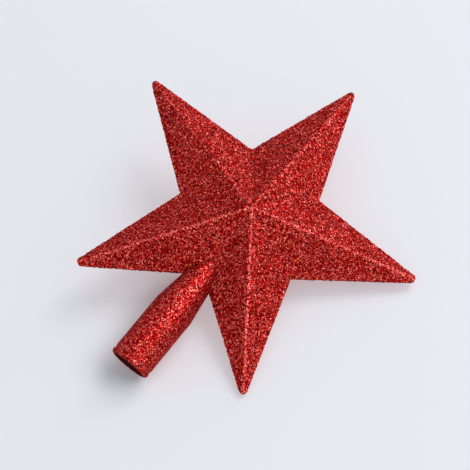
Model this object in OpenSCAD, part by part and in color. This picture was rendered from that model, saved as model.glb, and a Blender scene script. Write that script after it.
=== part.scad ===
// Glitter-coated star for the top of a tree: two moulded star halves glued
// rim to rim, with a socket tube clamped between them that slips over the
// tree's top shoot. Millimetres. The origin is the centre of the socket's
// mouth, +Z runs up the socket to the star's top tip, and the star's front
// faces -Y.

/* [Star] */
// Distance from the star's centre to the sharp corner of a tip
tip_reach = 95; // [75:1:120]
// Distance from the star's centre to the notch between two arms
notch_reach = 38; // [31:1:48]
// Height of the crown of each half above its rim
crown_h = 20; // [16:0.5:28]
// Height of the straight rim of each half
rim_h = 0.9; // [0.7:0.1:1.6]
// Radius that rounds each tip
tip_round = 1.7; // [1:0.1:2.2]
// Wall of the two halves
shell_wall = 1.2; // [0.9:0.1:1.5]
// Width of the glued land round the rim
rim_land = 2.2; // [1.9:0.1:3]
// Radius that rounds the hollow in each tip
hollow_round = 0.4; // [0.2:0.1:0.8]

/* [Locating pins] */
// Distance from the star's centre to the pin in each arm
pin_reach = 60; // [50:1:66]
// Radius of the boss that carries a pin or its hole
boss_r = 2.5; // [2:0.1:3.5]
// Radius of a pin
pin_r = 1.1; // [0.8:0.1:1.4]
// Height of a pin above the land
pin_h = 1.6; // [1:0.1:2.4]
// Gap between a pin and its hole
pin_gap = 0.1; // [0.05:0.05:0.2]

/* [Socket] */
// Length of the socket from its mouth to the star's lower notch
socket_len = 60.5; // [52:0.5:80]
// Radius of the bore at the mouth
bore_r = 9; // [8:0.5:12]
// Wall of the socket
socket_wall = 1.7; // [1:0.1:2]
// Length of the taper between the wide part and the nose
taper_len = 18; // [12:1:24]
// Outer radius of the socket at the foot of its rounded nose
nose_r = 8.1; // [7:0.1:9.4]
// Distance from the star's lower notch down to the foot of the nose
nose_drop = 6.5; // [4:0.5:9]
// Length of the nose, which runs into the star
nose_len = 14; // [11:0.5:18]
// Outer radius of the stub that carries the nose inside the star
stub_r = 4.2; // [3.6:0.1:5]
// Distance from the star's centre down to the closed end of the socket
end_below_centre = 8; // [5:1:10]
// Radius of the round bead at the mouth
bead_r = 1.4; // [1:0.1:1.8]
// Distance by which the bead stands out from the wide part
bead_proud = 0.1; // [0:0.1:0.6]
// Depth of the groove behind the bead
groove_depth = 0.4; // [0.2:0.1:0.7]
// Length of the slope from the groove up to the wide part
groove_len = 1.5; // [1:0.1:3]

/* [Cradle ribs inside the halves] */
// Distance from the star's centre down to the middle of the ribs
cradle_below_centre = 14; // [13:0.5:17]
// Thickness of a rib
cradle_t = 1.4; // [1:0.1:2]
// Width of a rib beside the socket
cradle_side = 8; // [6:0.5:10]

/* [Glitter and glue] */
// Thickness of the glitter and the lacquer that holds it
coat_t = 0.4; // [0.2:0.05:0.6]
// Gap between the socket and the openings in the two halves
seat_gap = 0.15; // [0.1:0.05:0.2]
// Height of the glue in the corner between the ribs and the socket
glue_h = 1.2; // [0.8:0.1:1.6]
// Height of the glue bead on each side of the seam, inside the star
seam_glue_h = 0.6; // [0.4:0.1:0.8]
// Width of the glue bead along the seam
seam_glue_w = 1; // [0.6:0.1:1.4]
// Thickness of the film that bonds one layer to the next
bond = 0.02; // [0.01:0.01:0.05]

/* [Hidden] */

$fn = 96;
arms = 5;
pitch = 360 / arms;
arc_steps = 4;
nose_steps = 5;

// The outline is tangential: all ten edges lie edge_reach from the centre.
tip_half_angle = atan2(notch_reach * sin(pitch / 2),
                       tip_reach - notch_reach * cos(pitch / 2));
edge_reach = tip_reach * sin(tip_half_angle);
slope = atan2(crown_h, edge_reach);
face_rise = 1 / cos(slope);

wide_r = bore_r + socket_wall;
centre_z = socket_len + notch_reach;
end_z = centre_z - end_below_centre;
nose_z = socket_len - nose_drop;
taper_z = nose_z - taper_len;
// Share of the nose's narrowing that carries on in line with the taper.
nose_lead = (wide_r - nose_r) / taper_len * nose_len / (nose_r - stub_r);
groove_z = 2 * bead_r;
bead_centre_r = wide_r + bead_proud - bead_r;
overrun = bead_r;

function arm_angle(i) = 90 + i * pitch;

// Corners of the star outline moved out by shift, with round tips.
function star_outline(shift, round) =
    let (ratio = 1 + shift / edge_reach,
         notch = ratio * notch_reach,
         arc_centre = ratio * tip_reach - round / sin(tip_half_angle),
         sweep = 90 - tip_half_angle)
    [for (i = [0 : arms - 1])
        let (a = arm_angle(i))
        each concat(
            [for (s = [0 : arc_steps])
                let (b = a + sweep * (2 * s / arc_steps - 1))
                [arc_centre * cos(a) + round * cos(b),
                 arc_centre * sin(a) + round * sin(b)]],
            [[notch * cos(a + pitch / 2), notch * sin(a + pitch / 2)]])];

// A surface of the star: its outline, its rim's height and its apex's height,
// with the rim moved out by shift and the crown's faces moved out by rise.
function star_surface(shift, rise, round) =
    [star_outline(shift, round),
     rim_h - shift * tan(slope) + rise * face_rise,
     rim_h + crown_h + rise * face_rise];

function at_height(outline, z) = [for (p = outline) [p.x, p.y, z]];

// Faces of a rim wall and a crown, from the first point of their surface.
function crown_faces(first, n) =
    [for (i = [0 : n - 1])
        let (j = (i + 1) % n)
        each [[first + n + i, first + n + j, first + j, first + i],
              [first + 2 * n, first + n + j, first + n + i]]];

function turned(faces) = [for (f = faces) [for (k = [1 : len(f)]) f[len(f) - k]]];

// Half of the star between two surfaces, lying on its rim with its crown up.
module half_star(outer, inner) {
    n = len(outer[0]);
    second = 2 * n + 1;
    points = concat(at_height(outer[0], 0), at_height(outer[0], outer[1]), [[0, 0, outer[2]]],
                    at_height(inner[0], 0), at_height(inner[0], inner[1]), [[0, 0, inner[2]]]);
    land = [for (i = [0 : n - 1])
        let (j = (i + 1) % n)
        [i, j, second + j, second + i]];
    polyhedron(points, concat(crown_faces(0, n), turned(crown_faces(second, n)), land),
               convexity = arms);
}

// The whole star within one surface, with its parting plane level.
module star_core(surface) {
    n = len(surface[0]);
    points = concat(at_height(surface[0], -surface[1]), at_height(surface[0], surface[1]),
                    [[0, 0, surface[2]], [0, 0, -surface[2]]]);
    underside = [for (i = [0 : n - 1]) [2 * n + 1, i, (i + 1) % n]];
    polyhedron(points, concat(crown_faces(0, n), underside), convexity = arms);
}

// Stands a level half upright with its crown to the front, or to the back.
module upright(to_back = false) {
    translate([0, 0, centre_z])
        mirror([0, to_back ? 1 : 0, 0])
            rotate([90, 0, 0])
                children();
}

// Taper, nose and stub of the socket as a half profile, moved out by grow.
function socket_head(grow) =
    concat([[wide_r + grow, taper_z]],
           [for (i = [0 : nose_steps])
               let (t = i / nose_steps,
                    narrowing = nose_lead * t + (1 - nose_lead) * t * t)
               [nose_r + grow - (nose_r - stub_r) * narrowing, nose_z + nose_len * t]]);

// The round way that the head of the socket needs through the star.
module socket_way(gap) {
    rotate_extrude()
        polygon(concat([[0, taper_z]],
                       socket_head(gap),
                       [[stub_r + gap, end_z + gap], [0, end_z + gap]]));
}

module at_each_pin() {
    for (i = [0 : arms - 1])
        translate([pin_reach * cos(arm_angle(i)), pin_reach * sin(arm_angle(i)), 0])
            children();
}

// Rib and bosses in the hollow of a half, rooted in its wall.
module inner_frame() {
    half_w = stub_r + cradle_side;
    intersection() {
        star_core(star_surface(-rim_land, -shell_wall / 2, hollow_round));
        union() {
            translate([-half_w, -cradle_below_centre - cradle_t / 2, 0])
                cube([2 * half_w, cradle_t, crown_h]);
            at_each_pin()
                cylinder(h = crown_h, r = boss_r);
        }
    }
}

module half_shell() {
    half_star(star_surface(0, 0, tip_round),
              star_surface(-rim_land, -shell_wall, hollow_round));
    inner_frame();
}

// The outside of the socket as a half profile, moved out by grow.
module socket_profile(grow) {
    polygon(concat([[0, 0],
                    [bead_centre_r, 0],
                    [bead_centre_r, bead_r],
                    [wide_r - groove_depth + grow, bead_r],
                    [wide_r - groove_depth + grow, groove_z],
                    [wide_r + grow, groove_z + groove_len]],
                   socket_head(grow),
                   [[stub_r + grow, end_z], [0, end_z]]));
    intersection() {
        translate([bead_centre_r, bead_r])
            circle(bead_r + grow);
        square([wide_r + bead_r, groove_z + groove_len]);
    }
}

module front_shell() {
    color("firebrick")
        difference() {
            upright()
                difference() {
                    half_shell();
                    translate([0, 0, -pin_gap])
                        at_each_pin()
                            cylinder(h = pin_h + 2 * pin_gap, r = pin_r + pin_gap);
                }
            socket_way(seat_gap);
        }
}

module back_shell() {
    color("firebrick")
        difference() {
            upright(to_back = true) {
                half_shell();
                translate([0, 0, -pin_h])
                    at_each_pin()
                        cylinder(h = pin_h + rim_h, r = pin_r);
            }
            socket_way(seat_gap);
        }
}

module socket_tube() {
    color("darkred")
        rotate_extrude()
            difference() {
                socket_profile(0);
                polygon(concat([[0, -overrun], [bore_r, -overrun]],
                               socket_head(-socket_wall),
                               [[stub_r - socket_wall, end_z - socket_wall],
                                [0, end_z - socket_wall]]));
            }
}

// The bead of glue that bridges the seam all round, inside the star.
module seam_glue() {
    color("khaki")
        difference() {
            upright()
                intersection() {
                    star_core(star_surface(-rim_land - bond, -shell_wall - bond, hollow_round));
                    translate([0, 0, -seam_glue_h])
                        linear_extrude(2 * seam_glue_h)
                            difference() {
                                polygon(star_outline(-rim_land / 2, hollow_round));
                                polygon(star_outline(-rim_land - seam_glue_w, hollow_round));
                            }
                }
            socket_way(seat_gap);
        }
}

// The fillet of glue round the socket, on the inner face of the ribs.
module socket_glue() {
    foot = centre_z - cradle_below_centre + cradle_t / 2;
    color("khaki")
        rotate_extrude()
            polygon([[stub_r + bond, foot],
                     [stub_r + glue_h, foot],
                     [stub_r + bond, foot + glue_h]]);
}

module star_glitter(to_back = false) {
    color("red")
        difference() {
            upright(to_back)
                half_star(star_surface(coat_t, coat_t, tip_round + coat_t),
                          star_surface(bond, bond, tip_round + bond));
            socket_way(coat_t + bond);
        }
}

module front_glitter() {
    star_glitter();
}

module back_glitter() {
    star_glitter(to_back = true);
}

module socket_glitter() {
    color("red")
        difference() {
            rotate_extrude()
                difference() {
                    socket_profile(coat_t);
                    socket_profile(bond);
                }
            upright()
                star_core(star_surface(bond, bond, tip_round + bond));
        }
}

front_shell();
back_shell();
socket_tube();
seam_glue();
socket_glue();
front_glitter();
back_glitter();
socket_glitter();
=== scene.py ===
import math
import random

import bmesh
import bpy
from bpy.props import FloatProperty, FloatVectorProperty, IntProperty, PointerProperty
from mathutils import Matrix, Vector
from mathutils.geometry import delaunay_2d_cdt


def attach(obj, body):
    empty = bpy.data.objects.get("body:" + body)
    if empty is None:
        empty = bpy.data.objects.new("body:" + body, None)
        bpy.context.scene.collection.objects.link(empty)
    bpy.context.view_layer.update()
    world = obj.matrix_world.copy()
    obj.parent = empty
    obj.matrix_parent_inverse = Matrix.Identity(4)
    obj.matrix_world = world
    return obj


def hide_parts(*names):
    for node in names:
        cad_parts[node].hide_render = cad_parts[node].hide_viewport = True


bl_info = {
    "name": "Glitter Tree Star",
    "version": (1, 0, 0),
    "blender": (4, 5, 0),
    "location": "3D View > Sidebar > Tree Star",
    "description": "Dresses a hollow tree-top star and its socket in glitter",
    "category": "Object",
}

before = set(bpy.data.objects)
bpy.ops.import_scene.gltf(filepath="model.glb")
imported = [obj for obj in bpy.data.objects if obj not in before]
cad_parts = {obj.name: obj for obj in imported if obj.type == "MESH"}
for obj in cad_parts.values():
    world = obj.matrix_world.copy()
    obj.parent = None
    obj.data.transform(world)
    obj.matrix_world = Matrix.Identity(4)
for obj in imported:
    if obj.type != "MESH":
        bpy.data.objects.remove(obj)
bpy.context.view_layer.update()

MM = 0.001
BODY = "root"

ARMS = 5
PITCH = math.tau / ARMS

# How many flat parts a round or an arc has
TUBE_SIDES = 96
BEAD_STEPS = 12
NOSE_STEPS = 10
TIP_STEPS = 4
FLAKE_SIDES = 6

# The coats' small flakes, as shares of their spacing
ROW_PITCH = 0.866       # from one row to the next
STRAY = 0.3             # how far a flake strays from its place in the row
SLIDE = 0.8             # how much of that is left up and down the socket
CLEAR_OF_RIM = 0.55     # how far the rows keep from the star's rim

# The star's coat
STAR_LUMPS = 0.85       # share of the lumps' depth
RIM_COAT = 0.55         # share of the coat's thickness that adds to the rim's height
LEAST_RAGGED = -0.3     # shares of the raggedness between which a flake at the rim stands out
MOST_RAGGED = 1.0
MID_RAGGED = 0.6        # how much of that is left halfway down the rim

# Lengths that tell small things apart
SPLINTER = 0.002 * MM   # edge of a splinter
SAME_POINT = 1e-9       # distance of two points that are one
SEAM_PLANE = 0.05 * MM  # distance from the plane of the seam
UNDERSIDE = 0.1 * MM    # depth below the mouth of a face under the bead

LEAST_GROOVE = 0.1 * MM  # height of the straight part of the socket's groove
BACKDROP_GAP = 0.9 * MM  # from the bare back half to the surface that it lies on

# The materials
PATCH_SIZE = 5 * MM     # width of lighter and darker patches in the glitter
FLOW_SIZE = 4 * MM      # width of flow marks in the plastic
FINE_SIZE = 0.5 * MM    # width of its finest bumps
FLOW_SHADE = 0.7        # share of the colour that is left in a flow mark
SHUFFLE = 61.0          # factor that makes another random number out of one

# The larger flakes
FLAKE_DEPTH = 0.12      # below their flat top, as a share of their width
FLAKE_DENSITY = 4.0e6   # for each square metre, before those too close to another go
TINT_SEED = 11

# What a random number from 0 to 1 has to pass for a golden flake
GOLDEN_SPECK = 0.99
GOLDEN_FLAKE = 0.992


class StarSizes(bpy.types.PropertyGroup):
    """Sizes of the two star halves under their glitter."""

    tip_reach: FloatProperty(
        name="Tip Reach", description="From the star's centre to the sharp corner of a tip",
        default=95 * MM, unit="LENGTH")
    notch_reach: FloatProperty(
        name="Notch Reach", description="From the star's centre to the notch between two arms",
        default=38 * MM, unit="LENGTH")
    crown_height: FloatProperty(
        name="Crown Height", description="Height of the crown of each half above its rim",
        default=20 * MM, unit="LENGTH")
    rim_height: FloatProperty(
        name="Rim Height", description="Height of the straight rim of each half",
        default=0.9 * MM, unit="LENGTH")
    tip_radius: FloatProperty(
        name="Tip Radius", description="Radius that rounds each tip",
        default=1.7 * MM, unit="LENGTH")
    centre_height: FloatProperty(
        name="Centre Height", description="From the socket's mouth up to the star's centre",
        default=98.5 * MM, unit="LENGTH")
    ridge_width: FloatProperty(
        name="Ridge Width", description="Width over which the glitter rounds a ridge or a valley",
        default=1.1 * MM, unit="LENGTH")


class SocketSizes(bpy.types.PropertyGroup):
    """Sizes of the socket tube under its glitter."""

    bore_radius: FloatProperty(
        name="Bore Radius", description="Radius of the bore at the mouth",
        default=9 * MM, unit="LENGTH")
    wide_radius: FloatProperty(
        name="Wide Radius", description="Outer radius of the wide part",
        default=10.7 * MM, unit="LENGTH")
    nose_radius: FloatProperty(
        name="Nose Radius", description="Outer radius at the foot of the rounded nose",
        default=8.1 * MM, unit="LENGTH")
    stub_radius: FloatProperty(
        name="Stub Radius", description="Outer radius of the stub inside the star",
        default=4.2 * MM, unit="LENGTH")
    taper_foot: FloatProperty(
        name="Taper Foot", description="Height above the mouth at which the taper starts",
        default=36 * MM, unit="LENGTH")
    nose_foot: FloatProperty(
        name="Nose Foot", description="Height above the mouth at which the nose starts",
        default=54 * MM, unit="LENGTH")
    nose_head: FloatProperty(
        name="Nose Head", description="Height above the mouth at which the stub starts",
        default=68 * MM, unit="LENGTH")
    bead_radius: FloatProperty(
        name="Bead Radius", description="Radius of the round bead at the mouth",
        default=1.4 * MM, unit="LENGTH")
    bead_proud: FloatProperty(
        name="Bead Proud", description="How far the bead stands out from the wide part",
        default=0.1 * MM, unit="LENGTH")
    groove_depth: FloatProperty(
        name="Groove Depth", description="Depth of the groove behind the bead",
        default=0.4 * MM, unit="LENGTH")
    groove_slope: FloatProperty(
        name="Groove Slope", description="Length of the slope from the groove to the wide part",
        default=1.5 * MM, unit="LENGTH")


class GlitterSizes(bpy.types.PropertyGroup):
    """Sizes and colours of the glitter."""

    coat: FloatProperty(
        name="Coat", description="Thickness of the glitter and its lacquer",
        default=0.4 * MM, unit="LENGTH")
    bond: FloatProperty(
        name="Bond", description="Thickness of the film under the coat",
        default=0.02 * MM, unit="LENGTH")
    grain: FloatProperty(
        name="Grain", description="Spacing of the small flakes that make up the coat",
        default=0.68 * MM, unit="LENGTH")
    speck: FloatProperty(
        name="Speck", description="Width of the finest flakes, which only catch the light",
        default=0.5 * MM, unit="LENGTH")
    lean: FloatProperty(
        name="Speck Lean", description="Most by which one of the finest flakes leans",
        default=math.radians(26), subtype="ANGLE")
    lumps: FloatProperty(
        name="Lumps", description="How far the small flakes stand in and out",
        default=0.03 * MM, unit="LENGTH")
    ragged: FloatProperty(
        name="Ragged", description="How far the flakes along the star's rim stand out",
        default=0.3 * MM, unit="LENGTH")
    flake: FloatProperty(
        name="Flake", description="Width of the larger flakes that lie on the coat",
        default=0.5 * MM, unit="LENGTH")
    spacing: FloatProperty(
        name="Flake Spacing", description="Least distance between two larger flakes' centres",
        default=0.8 * MM, unit="LENGTH")
    smallest: FloatProperty(
        name="Smallest Flake", default=0.6,
        description="Width of the smallest of the larger flakes, as a share of the widest")
    tilt: FloatProperty(
        name="Flake Tilt", description="Most by which a larger flake leans out of the surface",
        default=math.radians(22), subtype="ANGLE")
    socket_lean: FloatProperty(
        name="Socket Lean", description="Most by which any flake on the socket leans",
        default=math.radians(14), subtype="ANGLE")
    seed: IntProperty(
        name="Seed", description="Seed of the flakes' places, sizes and leans", default=7)
    patches: FloatProperty(
        name="Patches", description="How much the flakes lighten and darken from place to place",
        default=0.12)
    # Painted highlight: lightens the flakes' colour along the star's ridges, where the rounded
    # ridges catch the light.
    crest: FloatProperty(
        name="Crest", description="How much lighter the flakes are along the star's ridges",
        default=0.28)
    # Painted highlight per arm: its strength on each arm, larger on the arms whose ridges catch
    # more light.
    painted_ridge_highlight_shares: FloatVectorProperty(
        name="Crest Shares", description="Share of that on each arm, from the top arm to its left",
        size=ARMS, default=(0.35, 0.35, 1.0, 1.2, 1.0))
    # Painted shade: the foil's colour darkened for a flake that lies in the shade of others.
    foil: FloatVectorProperty(
        name="Foil", description="Colour of a flake that lies in the shade of others",
        subtype="COLOR", default=(0.305, 0.002, 0.0015))
    # Painted light: the foil's colour lightened for a flake that lies on top, in the light.
    bright: FloatVectorProperty(
        name="Bright Foil", description="Colour of a flake that lies on top", subtype="COLOR",
        default=(0.57, 0.028, 0.021))
    # Partly the lacquer's own colour, partly painted shade in the gaps between the flakes.
    lacquer: FloatVectorProperty(
        name="Lacquer", description="Colour of the lacquer between the flakes", subtype="COLOR",
        default=(0.045, 0.0001, 0.0001))
    # Painted highlight: the colour of a flake that catches the light.
    painted_glint: FloatVectorProperty(
        name="Glint", description="Colour of a flake that catches the light", subtype="COLOR",
        default=(1.0, 0.22, 0.19))
    edge: FloatVectorProperty(
        name="Edge", description="Colour of the sheen of a flake seen from the side",
        subtype="COLOR", default=(0.5, 0.05, 0.08))
    gold: FloatVectorProperty(
        name="Gold", description="Colour of the few golden flakes", subtype="COLOR",
        default=(0.40, 0.11, 0.02))


class UnderLook(bpy.types.PropertyGroup):
    """Colours of the moulded pieces and the glue under the glitter."""

    star_plastic: FloatVectorProperty(
        name="Star Plastic", description="Colour of both halves of the star", subtype="COLOR",
        default=(0.42, 0.03, 0.025))
    # Dark red plastic, made darker as painted shade so that the bore inside the mouth looks
    # shaded.
    socket_plastic: FloatVectorProperty(
        name="Socket Plastic", description="Colour of the socket tube", subtype="COLOR",
        default=(0.09, 0.002, 0.002))
    glue: FloatVectorProperty(
        name="Glue", description="Colour of the glue beads", subtype="COLOR",
        default=(0.82, 0.76, 0.6))


class StageLook(bpy.types.PropertyGroup):
    """Backdrop, light from all around, and camera."""

    floor: FloatVectorProperty(
        name="Floor", description="Colour of the pale surface behind the star", subtype="COLOR",
        default=(0.885, 0.90, 0.935))
    floor_size: FloatProperty(
        name="Floor Size", description="Width and height of the pale surface",
        default=3.0, unit="LENGTH")
    pale: FloatVectorProperty(
        name="Pale", description="Colour of the background that rays see past the object",
        subtype="COLOR", default=(0.85, 0.86, 0.90))
    veil: FloatProperty(
        name="Veil", description="How much of the pale colour lies over the surface's shadows",
        default=0.1)
    room: FloatVectorProperty(
        name="Room", description="Colour of the light from all around", subtype="COLOR",
        default=(0.9, 0.93, 1.0))
    room_light: FloatProperty(
        name="Room Light", description="Strength of the light from all around", default=0.39)
    lean: FloatVectorProperty(
        name="Lean", description="Direction from the star towards the surface it lies on",
        subtype="DIRECTION", default=(0.228, 1.0, -0.102))
    camera_at: FloatVectorProperty(
        name="Camera", description="Place of the camera", subtype="TRANSLATION",
        default=(0.0784, -0.5782, -0.0700))
    camera_aim: FloatVectorProperty(
        name="Aim", description="Point that the camera looks at", subtype="TRANSLATION",
        default=(-0.0004, 0.0, 0.0870))
    camera_roll: FloatProperty(
        name="Roll", description="Turn of the camera about its line of sight",
        default=math.radians(39.64), subtype="ANGLE")
    lens: FloatProperty(
        name="Lens", description="Focal length in millimetres on a 36 mm sensor", default=88.7)


class Value:
    """What a node puts out. Sums, products and comparisons of numbers add Math nodes."""

    def __init__(self, tree, socket):
        self.tree, self.socket = tree, socket

    def math(self, operation, *others):
        """A Math node that takes this number first."""
        made = add_node(self.tree, "ShaderNodeMath", {"operation": operation},
                        dict(enumerate((self, *others))))
        return Value(self.tree, made.outputs[0])

    def __add__(self, other):
        return self.math("ADD", other)

    def __radd__(self, other):
        return self.math("ADD", other)

    def __mul__(self, other):
        return self.math("MULTIPLY", other)

    def __rmul__(self, other):
        return self.math("MULTIPLY", other)

    def __sub__(self, other):
        return self.math("SUBTRACT", other)

    def __rsub__(self, other):
        return self * -1.0 + other

    def __gt__(self, other):
        return self.math("GREATER_THAN", other)


def rgba(colour):
    """A colour that hides what is behind it."""
    return (*colour, 1.0)


def set_stops(ramp, stops):
    """Gives a colour ramp its positions and colours."""
    while len(ramp.elements) < len(stops):
        ramp.elements.new(0.5)
    for element, (position, colour) in zip(ramp.elements, stops):
        element.position, element.color = position, rgba(colour)


def add_node(tree, kind, settings=None, sockets=None):
    """Adds a node: its settings first, then the values or links of its sockets."""
    made = tree.nodes.new(kind)
    for key, setting in (settings or {}).items():
        if key == "stops":
            set_stops(made.color_ramp, setting)
        else:
            setattr(made, key, setting)
    for key, source in (sockets or {}).items():
        if isinstance(source, Value):
            tree.links.new(source.socket, made.inputs[key])
        else:
            made.inputs[key].default_value = source
    return made


class Nodes:
    """A node tree and what its new nodes put out."""

    def __init__(self, tree):
        self.tree = tree

    def value(self, kind, settings=None, sockets=None, output=0):
        """One output of a new node."""
        return Value(self.tree, add_node(self.tree, kind, settings, sockets).outputs[output])


class Paint(Nodes):
    """The nodes of a procedural material, or of the world."""

    def __init__(self, owner):
        owner.use_nodes = True
        super().__init__(owner.node_tree)
        self.owner = owner
        self.tree.nodes.clear()

    def place(self):
        """Where on its object a point lies."""
        return self.value("ShaderNodeTexCoord", output="Object")

    def mix(self, factor, low, high):
        """A colour between two colours."""
        return self.value("ShaderNodeMix", {"data_type": "RGBA"}, {0: factor, 6: low, 7: high}, 2)

    def blend(self, factor, first, second):
        """A surface between two surfaces."""
        return self.value("ShaderNodeMixShader", None, {0: factor, 1: first, 2: second})

    def ramp(self, value, stops):
        """A colour along a row of colours."""
        return self.value("ShaderNodeValToRGB", {"stops": stops}, {"Fac": value})

    def cells(self, size):
        """Voronoi cells of about that width: a random colour for each."""
        return self.value("ShaderNodeTexVoronoi", {"feature": "F1"},
                          {"Vector": self.place(), "Scale": 1 / size}, "Color")

    def noise(self, size, detail=3.0):
        """Soft patches of about that width, from 0 to 1."""
        return self.value("ShaderNodeTexNoise", None,
                          {"Vector": self.place(), "Scale": 1 / size, "Detail": detail}, "Fac")

    def stored(self, name):
        """A number that the mesh carries."""
        return self.value("ShaderNodeAttribute", {"attribute_name": name}, output="Fac")

    def channel(self, colour, index):
        """The red, green or blue part of a colour."""
        return self.value("ShaderNodeSeparateColor", None, {"Color": colour}, index)

    def between(self, value, low, high, new_low, new_high):
        """A number moved from one range to another."""
        return self.value("ShaderNodeMapRange", None,
                          {"Value": value, "From Min": low, "From Max": high,
                           "To Min": new_low, "To Max": new_high})

    def leaned(self, cell, lean):
        """The surface's direction, leaned another way for each cell."""
        aside = self.value("ShaderNodeVectorMath", {"operation": "SUBTRACT"},
                           {0: cell, 1: (0.5, 0.5, 0.5)})
        aside = self.value("ShaderNodeVectorMath", {"operation": "SCALE"},
                           {0: aside, "Scale": 2 * math.tan(lean)})
        normal = self.value("ShaderNodeNewGeometry", output="Normal")
        leant = self.value("ShaderNodeVectorMath", {"operation": "ADD"}, {0: normal, 1: aside})
        return self.value("ShaderNodeVectorMath", {"operation": "NORMALIZE"}, {0: leant})

    def seen(self):
        """One for camera, glossy and transmission rays, which show what stands behind."""
        rays = ("Is Camera Ray", "Is Glossy Ray", "Is Transmission Ray")
        camera, glossy, through = (self.value("ShaderNodeLightPath", output=ray) for ray in rays)
        return camera.math("MAXIMUM", glossy).math("MAXIMUM", through)

    def shuffled(self, number):
        """Another random number from 0 to 1, out of one of that kind."""
        return (number * SHUFFLE).math("FRACT")

    def finish(self, shader, output="ShaderNodeOutputMaterial"):
        """Sends the surface to the output, and gives back the material or the world."""
        add_node(self.tree, output, None, {"Surface": shader})
        return self.owner


def flake_colour(paint, glitter, chance, golden):
    """Colour of a flake, partly its own random tone and partly painted light: painted shade in the
    lacquer gaps and on foil in the shade of others, lighter foil on top, a painted highlight on a
    flake that catches the light, or rarely gold.
    """
    patches = paint.noise(PATCH_SIZE, 2.0) - 0.5
    # The painted highlight along the ridges lightens the colour here.
    lightness = chance + patches * glitter.patches + paint.stored("crest") * glitter.crest
    red = paint.ramp(lightness, [(0.0, glitter.lacquer), (0.5, glitter.foil),
                                 (0.8, glitter.bright), (1.0, glitter.painted_glint)])
    return paint.mix(golden, red, rgba(glitter.gold))


def glitter_coat(glitter, name, lean):
    """Fine flakes set in red lacquer, one cell each, coloured from painted shade to a painted
    highlight.
    """
    paint = Paint(bpy.data.materials.new(name))
    cell = paint.cells(glitter.speck)
    chance = paint.shuffled(paint.channel(cell, 0))
    shade = paint.channel(cell, 1)
    golden = paint.channel(cell, 2) > GOLDEN_SPECK
    return paint.finish(paint.value("ShaderNodeBsdfPrincipled", None, {
        "Base Color": flake_colour(paint, glitter, chance, golden),
        "Metallic": 0.7,
        "Roughness": paint.between(shade, 0.0, 1.0, 0.25, 0.45),
        "Normal": paint.leaned(cell, lean),
        "Specular IOR Level": 0.12,
        "Specular Tint": rgba(glitter.edge),
    }))


def glitter_flakes(glitter):
    """Larger flakes of red foil, each with its own random tint, which picks its colour from
    painted shade to a painted highlight.
    """
    paint = Paint(bpy.data.materials.new("Glitter flakes"))
    tint = paint.stored("tint")
    chance = paint.shuffled(tint)
    return paint.finish(paint.value("ShaderNodeBsdfPrincipled", None, {
        "Base Color": flake_colour(paint, glitter, chance, tint > GOLDEN_FLAKE),
        "Metallic": 0.9,
        "Roughness": paint.between(tint, 0.0, 1.0, 0.25, 0.5),
        "Specular IOR Level": 0.12,
        "Specular Tint": rgba(glitter.edge),
    }))


def moulded_plastic(name, colour, roughness):
    """Moulded plastic, or set glue, with faint flow marks."""
    paint = Paint(bpy.data.materials.new(name))
    flow = paint.noise(FLOW_SIZE)
    fine = paint.noise(FINE_SIZE)
    dull = tuple(part * FLOW_SHADE for part in colour)
    bump = paint.value("ShaderNodeBump", None,
                       {"Height": fine, "Strength": 0.15, "Distance": 0.1 * MM})
    return paint.finish(paint.value("ShaderNodeBsdfPrincipled", None, {
        "Base Color": paint.mix(flow, rgba(dull), rgba(colour)),
        "Roughness": paint.between(flow, 0.3, 0.7, roughness, roughness + 0.15),
        "Specular IOR Level": 0.25,
        "Normal": bump,
    }))


def smooth_max(a, b, width):
    """The larger number, rounded over a width where both are alike."""
    return (a + b + math.sqrt((a - b) ** 2 + width ** 2)) / 2


def smooth_min(a, b, width):
    """The smaller number, rounded over a width where both are alike."""
    return (a + b - math.sqrt((a - b) ** 2 + width ** 2)) / 2


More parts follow.
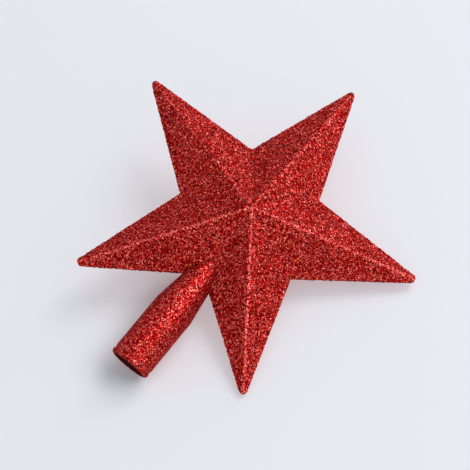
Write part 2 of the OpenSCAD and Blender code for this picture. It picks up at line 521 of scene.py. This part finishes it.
class StarForm:
    """The star's outline and crown, level, with its centre at the origin."""

    def __init__(self, star):
        self.star = star
        half = math.atan2(star.notch_reach * math.sin(PITCH / 2),
                          star.tip_reach - star.notch_reach * math.cos(PITCH / 2))
        self.half_angle = half
        self.edge_reach = star.tip_reach * math.sin(half)
        self.slope = math.atan2(star.crown_height, self.edge_reach)
        self.arms = [math.tau / 4 + i * PITCH for i in range(ARMS)]
        side = math.tau / 4 - half
        self.edges = [[Vector((math.cos(a + s), math.sin(a + s))) for s in (-side, side)]
                      for a in self.arms]

    def edge_distance(self, point, soften):
        """How far out the point lies towards the edges of the two arms nearest to it."""
        turn = (math.atan2(point.y, point.x) - self.arms[0]) / PITCH
        near = round(turn)
        beside = near + (1 if turn > near else -1)
        across = [smooth_max(point @ left, point @ right, soften)
                  for left, right in (self.edges[near % ARMS], self.edges[beside % ARMS])]
        return smooth_min(*across, soften)

    def crown(self, point, rise, soften):
        """Height of the crown over a point, with its faces moved out by rise."""
        star = self.star
        share = 1 - self.edge_distance(point, soften) / self.edge_reach
        return star.rim_height + star.crown_height * share + rise / math.cos(self.slope)

    def arc_centre(self, shift, radius):
        """How far from the star's centre the arc that rounds a tip has its centre."""
        return ((1 + shift / self.edge_reach) * self.star.tip_reach
                - radius / math.sin(self.half_angle))

    def past_arc(self, point, arc_centre):
        """How far a point lies from the centre of its tip's arc, or zero short of it."""
        turn = math.atan2(point.y, point.x) - self.arms[0]
        turn -= PITCH * round(turn / PITCH)
        ahead = point.length * math.cos(turn) - arc_centre
        return math.hypot(ahead, point.length * math.sin(turn)) if ahead > 0 else 0.0

    def outline(self, shift, radius, step=None):
        """The outline moved out by shift, sampled at each step or at its corners alone."""
        ratio = 1 + shift / self.edge_reach
        arc_centre = self.arc_centre(shift, radius)
        sweep = math.tau / 4 - self.half_angle
        count = TIP_STEPS
        if step is not None:
            count = max(count, round(2 * sweep * radius / step))
        corners = []
        for a in self.arms:
            for s in range(count + 1):
                b = a + sweep * (2 * s / count - 1)
                corners.append(Vector((arc_centre * math.cos(a) + radius * math.cos(b),
                                       arc_centre * math.sin(a) + radius * math.sin(b))))
            notch = ratio * self.star.notch_reach
            corners.append(Vector((notch * math.cos(a + PITCH / 2),
                                   notch * math.sin(a + PITCH / 2))))
        if step is None:
            return corners
        points = []
        for here, there in zip(corners, corners[1:] + corners[:1]):
            parts = max(1, round((there - here).length / step))
            points += [here.lerp(there, k / parts) for k in range(parts)]
        return points


def upright(star, to_back):
    """Stands a level half upright with its crown to the front, or to the back."""
    turn = Matrix.Rotation(math.radians(180 if to_back else 0), 4, "Z")
    return Matrix.Translation((0, 0, star.centre_height)) @ turn @ Matrix.Rotation(
        math.radians(90), 4, "X")


def new_object(name, vertices, faces, material=None):
    """An object at the origin, with its place in its mesh."""
    mesh = bpy.data.meshes.new(name)
    mesh.from_pydata([tuple(v) for v in vertices], [], faces)
    mesh.update()
    thing = bpy.data.objects.new(name, mesh)
    bpy.context.scene.collection.objects.link(thing)
    if material:
        mesh.materials.append(material)
    return thing


def baked(thing):
    """Turns what the modifiers make into the object's own mesh."""
    evaluated = thing.evaluated_get(bpy.context.evaluated_depsgraph_get())
    mesh = bpy.data.meshes.new_from_object(evaluated)
    thing.modifiers.clear()
    old, thing.data = thing.data, mesh
    bpy.data.meshes.remove(old)
    mesh.name = thing.name
    return thing


def cut(thing, *cutters):
    """Takes closed forms out of a closed form, then the splinters and the empty material slot
    that this leaves."""
    for cutter in cutters:
        change = thing.modifiers.new("Cut", "BOOLEAN")
        change.operation = "DIFFERENCE"
        change.solver = "MANIFOLD"
        change.object = cutter
    baked(thing)
    for cutter in cutters:
        bpy.data.objects.remove(cutter)
    cleaned = bmesh.new()
    cleaned.from_mesh(thing.data)
    bmesh.ops.dissolve_degenerate(cleaned, dist=SPLINTER, edges=cleaned.edges)
    bmesh.ops.triangulate(cleaned, faces=cleaned.faces)
    cleaned.to_mesh(thing.data)
    closed = all(edge.is_manifold for edge in cleaned.edges)
    cleaned.free()
    thing.data.materials.clear()
    if not closed:
        raise RuntimeError(f"{thing.name} isn't closed")


def star_core(form, rise):
    """The whole star, both halves, with its faces moved out by rise."""
    star = form.star
    outline = form.outline(rise, star.tip_radius + rise)
    shoulder = star.rim_height - rise * math.tan(form.slope) + rise / math.cos(form.slope)
    apex = star.rim_height + star.crown_height + rise / math.cos(form.slope)
    n = len(outline)
    vertices = [(p.x, p.y, -shoulder) for p in outline] + [(p.x, p.y, shoulder) for p in outline]
    vertices += [(0, 0, -apex), (0, 0, apex)]
    faces = []
    for i in range(n):
        j = (i + 1) % n
        faces += [(i, j, n + j, n + i), (n + i, n + j, 2 * n + 1), (j, i, 2 * n)]
    core = new_object("Star core", vertices, faces)
    core.data.transform(upright(star, False))
    return core


def end_caps(rows, sides):
    """The faces that close both ends of a form made of rows of points."""
    top = (rows - 1) * sides
    return [tuple(reversed(range(sides))), tuple(range(top, top + sides))]


def tube_form(name, profile):
    """A closed form turned round the socket's axis, from its foot to its head."""
    sides = TUBE_SIDES
    vertices, faces = [], []
    for r, z in profile:
        vertices += [(r * math.cos(math.tau * k / sides), r * math.sin(math.tau * k / sides), z)
                     for k in range(sides)]
    for row in range(len(profile) - 1):
        for k in range(sides):
            a, b = row * sides + k, row * sides + (k + 1) % sides
            faces.append((a, b, b + sides, a + sides))
    return new_object(name, vertices, faces + end_caps(len(profile), sides))


def socket_head(socket, grow, head):
    """Taper, nose and stub of the socket as a profile up to head, moved out by grow."""
    narrowing = socket.nose_radius - socket.stub_radius
    nose = socket.nose_head - socket.nose_foot
    taper = socket.nose_foot - socket.taper_foot
    lead = (socket.wide_radius - socket.nose_radius) / taper * nose / narrowing
    points = [(socket.wide_radius + grow, socket.taper_foot)]
    for i in range(NOSE_STEPS + 1):
        t = i / NOSE_STEPS
        points.append((socket.nose_radius + grow - narrowing * (lead * t + (1 - lead) * t * t),
                       socket.nose_foot + nose * t))
    return points + [(socket.stub_radius + grow, head)]


def socket_profile(socket, grow, head, inner=None):
    """The outside of the socket up to head, moved out by grow. It starts at the bottom of the
    bead, or where the bead's round reaches the radius inner."""
    bead_centre = socket.wide_radius + socket.bead_proud - socket.bead_radius
    round_r = socket.bead_radius + grow
    groove = socket.wide_radius - socket.groove_depth + grow
    low = -math.acos(((inner or bead_centre) - bead_centre) / round_r)
    high = math.acos(max(-1.0, min(1.0, (groove - bead_centre) / round_r)))
    arc = [low + (high - low) * k / BEAD_STEPS for k in range(BEAD_STEPS + 1)]
    bead = [(bead_centre + round_r * math.cos(a), socket.bead_radius + round_r * math.sin(a))
            for a in arc]
    slope_foot = max(2 * socket.bead_radius, bead[-1][1] + LEAST_GROOVE)
    return bead + [(groove, slope_foot),
                   (socket.wide_radius + grow, slope_foot + socket.groove_slope),
                   *socket_head(socket, grow, head)]


def along(profile, step):
    """The points of a profile, and more between them, at most a step apart."""
    points = []
    for here, there in zip(profile, profile[1:]):
        length = math.dist(here, there)
        parts = max(1, round(length / step))
        points += [tuple(a + (b - a) * k / parts for a, b in zip(here, there))
                   for k in range(parts)]
    return points + [profile[-1]]


def grain_points(form, glitter, rng):
    """The corners of a half's small flakes, seen from above: the rim's, and all of them."""
    step = glitter.grain
    tip_round = form.star.tip_radius + glitter.coat
    border = form.outline(glitter.coat, tip_round, step)
    points = list(border)
    margin = step * CLEAR_OF_RIM
    edge = form.edge_reach + glitter.coat - margin
    arc_centre = form.arc_centre(glitter.coat, tip_round)
    rows = math.ceil(form.star.tip_reach / (step * ROW_PITCH))
    for row in range(-rows, rows + 1):
        for column in range(-rows, rows + 1):
            point = Vector(((column + row % 2 / 2) * step + rng.uniform(-STRAY, STRAY) * step,
                            (row * ROW_PITCH + rng.uniform(-STRAY, STRAY)) * step))
            if form.past_arc(point, arc_centre) > tip_round - margin:
                continue
            if form.edge_distance(point, 0.0) < edge:
                points.append(point)
    return border, points


def rim_wall(star, glitter, rng, vertices, loop):
    """Pushes the rim's flakes out unevenly, adds the points of the wall under them, and gives
    back the wall's faces with the flat one that closes the half."""
    ring = len(loop)
    middle = 0.5 * (star.rim_height + glitter.coat * RIM_COAT)
    around = [Vector(vertices[index][:2]) for index in loop]
    pushed = []
    for i in range(ring):
        way = (around[(i + 1) % ring] - around[i - 1]).normalized()
        out = Vector((way.y, -way.x, 0))
        pushed.append(out * rng.uniform(LEAST_RAGGED, MOST_RAGGED) * glitter.ragged)
        vertices[loop[i]] += pushed[i]
    wall = [loop]
    for height, share in ((middle, MID_RAGGED), (0.0, 0.0)):
        first = len(vertices)
        vertices += [Vector((*place, height)) + push * share
                     for place, push in zip(around, pushed)]
        wall.append(list(range(first, first + ring)))
    faces = []
    for upper, lower in zip(wall, wall[1:]):
        for i in range(ring):
            j = (i + 1) % ring
            faces += [(lower[i], lower[j], upper[j]), (lower[i], upper[j], upper[i])]
    return faces + [tuple(reversed(wall[-1]))]


def half_star_block(form, glitter, rng, name, to_back):
    """Half of the star as a closed block whose outside is made of small flakes."""
    star, lumps = form.star, glitter.lumps
    border, points = grain_points(form, glitter, rng)
    ring = len(border)
    found = delaunay_2d_cdt(points, [], [list(range(ring))], 1, SAME_POINT, True)
    flat, triangles, origin = found[0], found[2], found[3]
    rim = form.edge_reach + glitter.coat
    faces = [tuple(t) for t in triangles
             if form.edge_distance(sum((flat[i] for i in t), Vector((0, 0))) / 3, 0.0) < rim]
    vertices = []
    for place in flat:
        height = form.crown(place, glitter.coat, star.ridge_width)
        lump = rng.uniform(-lumps, lumps) * STAR_LUMPS
        vertices.append(Vector((place.x, place.y, height + lump)))
    where = {source: index for index, sources in enumerate(origin) for source in sources}
    faces += rim_wall(star, glitter, rng, vertices, [where[i] for i in range(ring)])
    block = new_object(name, vertices, faces)
    block.data.transform(upright(star, to_back))
    return block


def socket_block(socket, glitter, head, rng):
    """The coated socket as a closed block whose outside is made of small flakes."""
    whole = socket_profile(socket, glitter.coat, head, socket.bore_radius)
    profile = [Vector(p) for p in along(whole, glitter.grain * ROW_PITCH)]
    sides = round(math.tau * socket.wide_radius / glitter.grain)
    last = len(profile) - 1
    vertices, faces = [], []
    for row, place in enumerate(profile):
        stray, lumps = (STRAY, glitter.lumps) if 0 < row < last else (0.0, 0.0)
        way = (profile[min(row + 1, last)] - profile[max(row - 1, 0)]).normalized()
        out = Vector((way.y, -way.x))
        for k in range(sides):
            turn = math.tau * (k + row % 2 / 2 + rng.uniform(-stray, stray)) / sides
            slide, push = rng.uniform(-stray, stray), rng.uniform(-1, 1)
            r, z = place + way * slide * glitter.grain * SLIDE + out * push * lumps
            vertices.append((r * math.cos(turn), r * math.sin(turn), z))
    for row in range(last):
        for k in range(sides):
            a, b = row * sides + k, row * sides + (k + 1) % sides
            c, d = a + sides, b + sides
            if row % 2 == 0:
                faces += [(a, b, c), (b, d, c)]
            else:
                faces += [(a, b, d), (a, d, c)]
    return new_object("socket_glitter_coat", vertices, faces + end_caps(len(profile), sides))


def mark_painted_ridge_highlight(thing, form, width, shares):
    """Stores a painted highlight along the ridges: how near each point of a half lies to its arm's
    ridge, times the arm's share.
    """
    mesh = thing.data
    marks = mesh.attributes.new("crest", "FLOAT", "POINT")
    values = []
    for vertex in mesh.vertices:
        flat = Vector((vertex.co.x, vertex.co.z - form.star.centre_height))
        turn = math.atan2(flat.y, flat.x) - form.arms[0]
        near = round(turn / PITCH)
        off = flat.length * math.sin(turn - PITCH * near)
        values.append(shares[near % ARMS] * math.exp(-(off / width) ** 2))
    marks.data.foreach_set("value", values)


def mark_outside(thing, is_outside):
    """Stores on each face whether it faces out of the object."""
    mesh = thing.data
    marks = mesh.attributes.new("outside", "BOOLEAN", "FACE")
    marks.data.foreach_set("value", [is_outside(face) for face in mesh.polygons])


def ride_and_replace(piece, node, slot):
    """Puts a piece on the body, and in place of a CAD node if named. The slot is not used."""
    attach(piece, BODY)
    if node:
        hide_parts(node)


class TREESTAR_OT_star_coats(bpy.types.Operator):
    """Coat both halves of the star with small flakes in lacquer"""

    bl_idname = "treestar.star_coats"
    bl_label = "Coat the Star"

    def execute(self, context):
        scene = context.scene
        star, glitter, socket = scene.star_sizes, scene.glitter_sizes, scene.socket_sizes
        form = StarForm(star)
        coat = glitter_coat(glitter, "Star glitter", glitter.lean)
        for to_back, name in ((False, "front"), (True, "back")):
            rng = random.Random(glitter.seed + to_back)
            block = half_star_block(form, glitter, rng, f"{name}_glitter_coat", to_back)
            profile = socket_head(socket, glitter.coat + glitter.bond, star.centre_height)
            way = tube_form("Way", profile)
            cut(block, star_core(form, glitter.bond), way)
            block.data.materials.append(coat)
            # Stores the painted highlight along the ridges.
            mark_painted_ridge_highlight(block, form, star.ridge_width / 2, glitter.painted_ridge_highlight_shares)
            out = 1 if to_back else -1
            centre = Vector((0, -out * star.crown_height, star.centre_height))
            mark_outside(block, lambda face: face.normal.dot(face.center - centre) > 0
                         and abs(face.center.y) > SEAM_PLANE)
            ride_and_replace(block, f"{name}_glitter", "star_glitter")
        return {"FINISHED"}


class TREESTAR_OT_socket_coat(bpy.types.Operator):
    """Coat the outside of the socket with small flakes in lacquer"""

    bl_idname = "treestar.socket_coat"
    bl_label = "Coat the Socket"

    def execute(self, context):
        scene = context.scene
        star, glitter, socket = scene.star_sizes, scene.glitter_sizes, scene.socket_sizes
        head = star.centre_height - star.notch_reach / 2
        rng = random.Random(glitter.seed + 2)
        block = socket_block(socket, glitter, head, rng)
        inner = [(socket.bore_radius, -MM), (socket.bore_radius, -glitter.bond),
                 *socket_profile(socket, glitter.bond, head + MM)]
        cut(block, tube_form("Socket core", inner), star_core(StarForm(star), glitter.bond))
        block.data.materials.append(glitter_coat(glitter, "Socket glitter", glitter.socket_lean))
        mark_outside(block, lambda face: face.center.z < -UNDERSIDE or face.normal.dot(
            Vector((face.center.x, face.center.y, 0))) > 0)
        ride_and_replace(block, "socket_glitter", "socket_glitter")
        return {"FINISHED"}


def flake_mesh(width):
    """A six-sided flake, flat on top and closed to a point below."""
    sides = FLAKE_SIDES
    turns = [k * math.tau / sides for k in range(sides)]
    corners = [(width / 2 * math.cos(turn), width / 2 * math.sin(turn), 0) for turn in turns]
    faces = [tuple(range(sides))] + [((k + 1) % sides, k, sides) for k in range(sides)]
    return corners + [(0, 0, -width * FLAKE_DEPTH)], faces


def flake_tree(flake, material):
    """Nodes that scatter tilted flakes over the faces marked as outside."""
    tree = bpy.data.node_groups.new("Scatter flakes", "GeometryNodeTree")
    face = tree.interface
    face.new_socket("Geometry", in_out="INPUT", socket_type="NodeSocketGeometry")
    for name, kind in (("Spacing", "NodeSocketFloat"), ("Tilt", "NodeSocketFloat"),
                       ("Smallest", "NodeSocketFloat"), ("Seed", "NodeSocketInt")):
        face.new_socket(name, in_out="INPUT", socket_type=kind)
    face.new_socket("Geometry", in_out="OUTPUT", socket_type="NodeSocketGeometry")

    value = Nodes(tree).value
    given = {name: value("NodeGroupInput", output=name)
             for name in ("Geometry", "Spacing", "Tilt", "Smallest", "Seed")}
    outside = value("GeometryNodeInputNamedAttribute", {"data_type": "BOOLEAN"},
                    {"Name": "outside"}, "Attribute")
    spread = add_node(tree, "GeometryNodeDistributePointsOnFaces",
                      {"distribute_method": "POISSON"},
                      {"Mesh": given["Geometry"], "Selection": outside,
                       "Distance Min": given["Spacing"], "Density Max": FLAKE_DENSITY,
                       "Density Factor": 1.0, "Seed": given["Seed"]}).outputs
    less = given["Tilt"] * -1.0
    low = value("ShaderNodeCombineXYZ", None, {"X": less, "Y": less})
    high = value("ShaderNodeCombineXYZ", None,
                 {"X": given["Tilt"], "Y": given["Tilt"], "Z": math.tau})
    lean = value("FunctionNodeRandomValue", {"data_type": "FLOAT_VECTOR"},
                 {"Min": low, "Max": high, "Seed": given["Seed"]})
    turned = value("FunctionNodeRotateRotation", {"rotation_space": "LOCAL"}, {
        "Rotation": Value(tree, spread["Rotation"]),
        "Rotate By": value("FunctionNodeEulerToRotation", None, {"Euler": lean})})
    size = value("FunctionNodeRandomValue", {"data_type": "FLOAT"},
                 {"Min": given["Smallest"], "Max": 1.0, "Seed": given["Seed"]}, 1)
    put = value("GeometryNodeInstanceOnPoints", None, {
        "Points": Value(tree, spread["Points"]),
        "Instance": value("GeometryNodeObjectInfo", None, {"Object": flake}, "Geometry"),
        "Rotation": turned, "Scale": size})
    tint = value("FunctionNodeRandomValue", {"data_type": "FLOAT"},
                 {"Min": 0.0, "Max": 1.0, "Seed": TINT_SEED}, 1)
    kept = value("GeometryNodeStoreNamedAttribute", {"data_type": "FLOAT", "domain": "INSTANCE"},
                 {"Geometry": put, "Name": "tint", "Value": tint})
    real = value("GeometryNodeRealizeInstances", None, {"Geometry": kept})
    dressed = value("GeometryNodeSetMaterial", None, {"Geometry": real, "Material": material})
    add_node(tree, "NodeGroupOutput", None, {"Geometry": dressed})
    return tree


class TREESTAR_OT_flakes(bpy.types.Operator):
    """Scatter larger, tilted flakes over each coat"""

    bl_idname = "treestar.flakes"
    bl_label = "Scatter Flakes"

    def execute(self, context):
        glitter = context.scene.glitter_sizes
        flake = new_object("Flake", *flake_mesh(glitter.flake))
        tree = flake_tree(flake, glitter_flakes(glitter))
        sockets = {item.name: item.identifier for item in tree.interface.items_tree
                   if item.in_out == "INPUT"}
        for order, (name, slot, tilt) in enumerate((
                ("front", "star_glitter", glitter.tilt), ("back", "star_glitter", glitter.tilt),
                ("socket", "socket_glitter", glitter.socket_lean))):
            coat = bpy.data.objects[f"{name}_glitter_coat"]
            piece = bpy.data.objects.new(f"{name}_flakes", coat.data.copy())
            context.scene.collection.objects.link(piece)
            scatter = piece.modifiers.new("Scatter", "NODES")
            scatter.node_group = tree
            scatter[sockets["Spacing"]] = glitter.spacing
            scatter[sockets["Tilt"]] = tilt
            scatter[sockets["Smallest"]] = glitter.smallest
            scatter[sockets["Seed"]] = glitter.seed + order
            baked(piece)
            ride_and_replace(piece, None, slot)
        bpy.data.objects.remove(flake)
        return {"FINISHED"}


class TREESTAR_OT_plastic(bpy.types.Operator):
    """Give the moulded pieces and the glue under the glitter their finish"""

    bl_idname = "treestar.plastic"
    bl_label = "Finish the Plastic and Glue"

    def execute(self, context):
        look = context.scene.under_look
        plastic = moulded_plastic("Star plastic", look.star_plastic, roughness=0.35)
        glue = moulded_plastic("Glue", look.glue, roughness=0.2)
        finishes = {
            "front_shell": plastic,
            "back_shell": plastic,
            "socket_tube": moulded_plastic("Socket plastic", look.socket_plastic, roughness=0.45),
            "seam_glue": glue,
            "socket_glue": glue,
        }
        for name, material in finishes.items():
            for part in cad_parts[name].material_slots:
                part.material = material
        return {"FINISHED"}


def soft_lamp(name, place, aim, size, power, blockers=None):
    """A round lamp. Where blockers is given, only the pieces in it cast a shadow."""
    data = bpy.data.lights.new(name, "AREA")
    data.shape, data.size, data.energy = "DISK", size, power
    lamp = bpy.data.objects.new(name, data)
    lamp.location = place
    lamp.rotation_mode = "QUATERNION"
    lamp.rotation_quaternion = (Vector(aim) - Vector(place)).to_track_quat("-Z", "Y")
    bpy.context.scene.collection.objects.link(lamp)
    if blockers:
        lamp.light_linking.blocker_collection = blockers


# Name, place, size in metres, power in watts, and whether the star casts a shadow in its light
LAMPS = (
    ("Upper right", (0.20, -1.41, 3.84), 2.2, 12.7, True),
    ("High right", (-0.27, -2.81, 2.94), 2.2, 41.3, True),
    ("Right", (1.36, -3.28, 1.94), 2.2, 65.1, False),
    ("Below", (1.69, -2.40, -2.62), 2.2, 14.3, False),
    ("Back left", (-0.5, 0.7, 0.5), 0.6, 2.5, True),
    ("Back right", (0.7, 0.5, 0.1), 0.6, 1.7, True),
)


class TREESTAR_OT_stage(bpy.types.Operator):
    """Set up the pale surface behind the star, the lamps and the camera"""

    bl_idname = "treestar.stage"
    bl_label = "Set the Stage"

    def backdrop(self, star, look):
        """The surface that the star lies on in the photograph, on its back."""
        paint = Paint(bpy.data.materials.new("Pale surface"))
        lit = paint.value("ShaderNodeBsdfDiffuse", None, {"Color": rgba(look.floor)})
        pale = paint.value("ShaderNodeEmission", None, {"Color": rgba(look.pale)})
        surface = paint.blend(paint.seen() * look.veil, lit, pale)
        behind = paint.value("ShaderNodeNewGeometry", output="Backfacing")
        unseen = behind.math("MAXIMUM", paint.value("ShaderNodeLightPath", output="Is Shadow Ray"))
        clear = paint.value("ShaderNodeBsdfTransparent")
        paint.finish(paint.blend(unseen, surface, clear))
        half = look.floor_size / 2
        corners = [(-half, -half, 0), (half, -half, 0), (half, half, 0), (-half, half, 0)]
        sheet = new_object("backdrop", corners, [(0, 1, 2, 3)], paint.owner)
        normal = Vector(look.lean).normalized()
        touch = Vector((0, star.rim_height + star.crown_height + BACKDROP_GAP,
                        star.centre_height))
        facing = (-normal).to_track_quat("Z", "Y").to_matrix().to_4x4()
        sheet.data.transform(Matrix.Translation(touch) @ facing)

    def room(self, look):
        """Even light from all around, and the pale colour for rays that see past the object."""
        paint = Paint(bpy.data.worlds.new("Room"))
        light = tuple(part * look.room_light for part in look.room)
        colour = paint.mix(paint.seen(), rgba(light), rgba(look.pale))
        return paint.finish(paint.value("ShaderNodeBackground", None, {"Color": colour}),
                            "ShaderNodeOutputWorld")

    def camera(self, look):
        """A camera at the photograph's place, rolled about its line of sight."""
        camera = bpy.data.objects.new("Camera", bpy.data.cameras.new("Camera"))
        camera.data.lens = look.lens
        camera.location = Vector(look.camera_at)
        camera.rotation_mode = "QUATERNION"
        straight = (Vector(look.camera_aim) - camera.location).to_track_quat("-Z", "Y")
        camera.rotation_quaternion = straight @ Matrix.Rotation(
            look.camera_roll, 3, "Z").to_quaternion()
        return camera

    def execute(self, context):
        scene = context.scene
        star, look = scene.star_sizes, scene.stage_look
        self.backdrop(star, look)
        scene.world = self.room(look)
        middle = (0, 0, star.centre_height)
        socket_alone = bpy.data.collections.new("Socket alone")
        socket_alone.objects.link(bpy.data.objects["socket_glitter_coat"])
        for name, place, size, power, star_shades in LAMPS:
            soft_lamp(name, place, middle, size, power, None if star_shades else socket_alone)
        scene.camera = self.camera(look)
        scene.collection.objects.link(scene.camera)
        scene.view_settings.view_transform = "Standard"
        return {"FINISHED"}


class TREESTAR_PT_panel(bpy.types.Panel):
    """Steps that dress the star"""

    bl_idname = "TREESTAR_PT_panel"
    bl_label = "Tree Star"
    bl_space_type = "VIEW_3D"
    bl_region_type = "UI"
    bl_category = "Tree Star"

    def draw(self, context):
        for operator in OPERATORS:
            self.layout.operator(operator.bl_idname)
        for group in GROUPS:
            box = self.layout.box()
            settings = getattr(context.scene, group)
            for name in type(settings).__annotations__:
                box.prop(settings, name)


OPERATORS = (TREESTAR_OT_star_coats, TREESTAR_OT_socket_coat, TREESTAR_OT_flakes,
             TREESTAR_OT_plastic, TREESTAR_OT_stage)
GROUPS = {"star_sizes": StarSizes, "socket_sizes": SocketSizes,
          "glitter_sizes": GlitterSizes, "under_look": UnderLook, "stage_look": StageLook}


def register():
    for kind in (*GROUPS.values(), *OPERATORS, TREESTAR_PT_panel):
        bpy.utils.register_class(kind)
    for name, kind in GROUPS.items():
        setattr(bpy.types.Scene, name, PointerProperty(type=kind))


def unregister():
    for name in GROUPS:
        delattr(bpy.types.Scene, name)
    for kind in reversed((*GROUPS.values(), *OPERATORS, TREESTAR_PT_panel)):
        bpy.utils.unregister_class(kind)


def main():
    register()
    bpy.ops.treestar.star_coats()
    bpy.ops.treestar.socket_coat()
    bpy.ops.treestar.flakes()
    bpy.ops.treestar.plastic()
    bpy.ops.treestar.stage()


if __name__ == "__main__":
    main()
